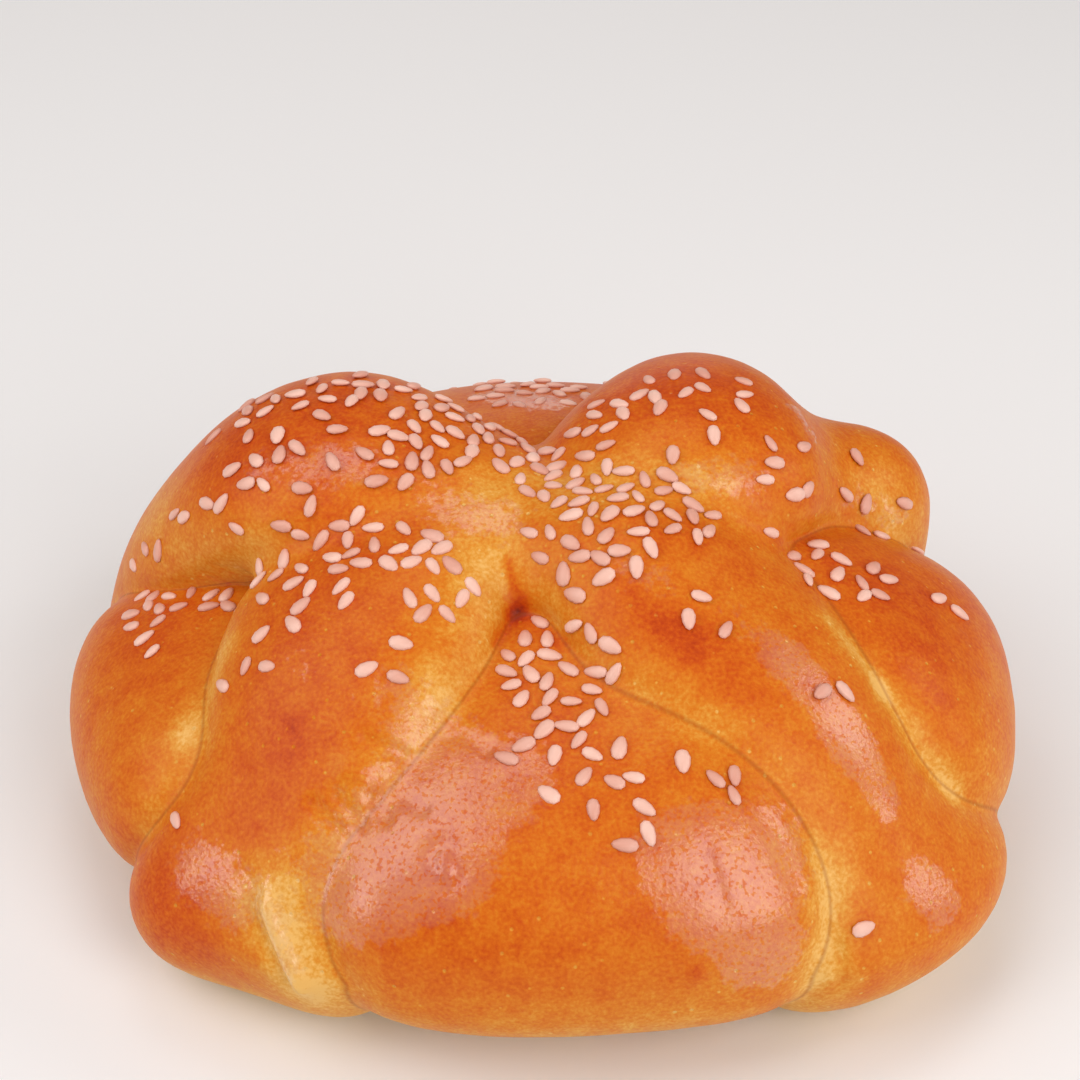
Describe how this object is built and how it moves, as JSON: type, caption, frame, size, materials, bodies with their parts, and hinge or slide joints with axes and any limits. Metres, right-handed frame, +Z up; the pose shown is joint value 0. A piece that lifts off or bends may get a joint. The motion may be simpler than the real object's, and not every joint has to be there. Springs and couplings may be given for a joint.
{
  "type": "pan de muerto",
  "caption": "Round glazed sweet bun with crossed bones of dough baked over its lobes, strewn with sesame seeds, resting on a flat foot.",
  "frame": {"origin": "middle of the bun's flat foot, on the surface that it rests on", "axes": "+Z up, -Y towards the front lobe between the two near arms, +X to the right seen from the front"},
  "size_m": [0.1284, 0.1176, 0.0568],
  "materials": {
    "crust": "egg-washed golden brown crust, glossy on top and paler along the seams",
    "sesame": "hulled sesame seeds, creamy and satin"
  },
  "bodies": {
    "root": {"bread": "crust"}
  },
  "joints": []
}
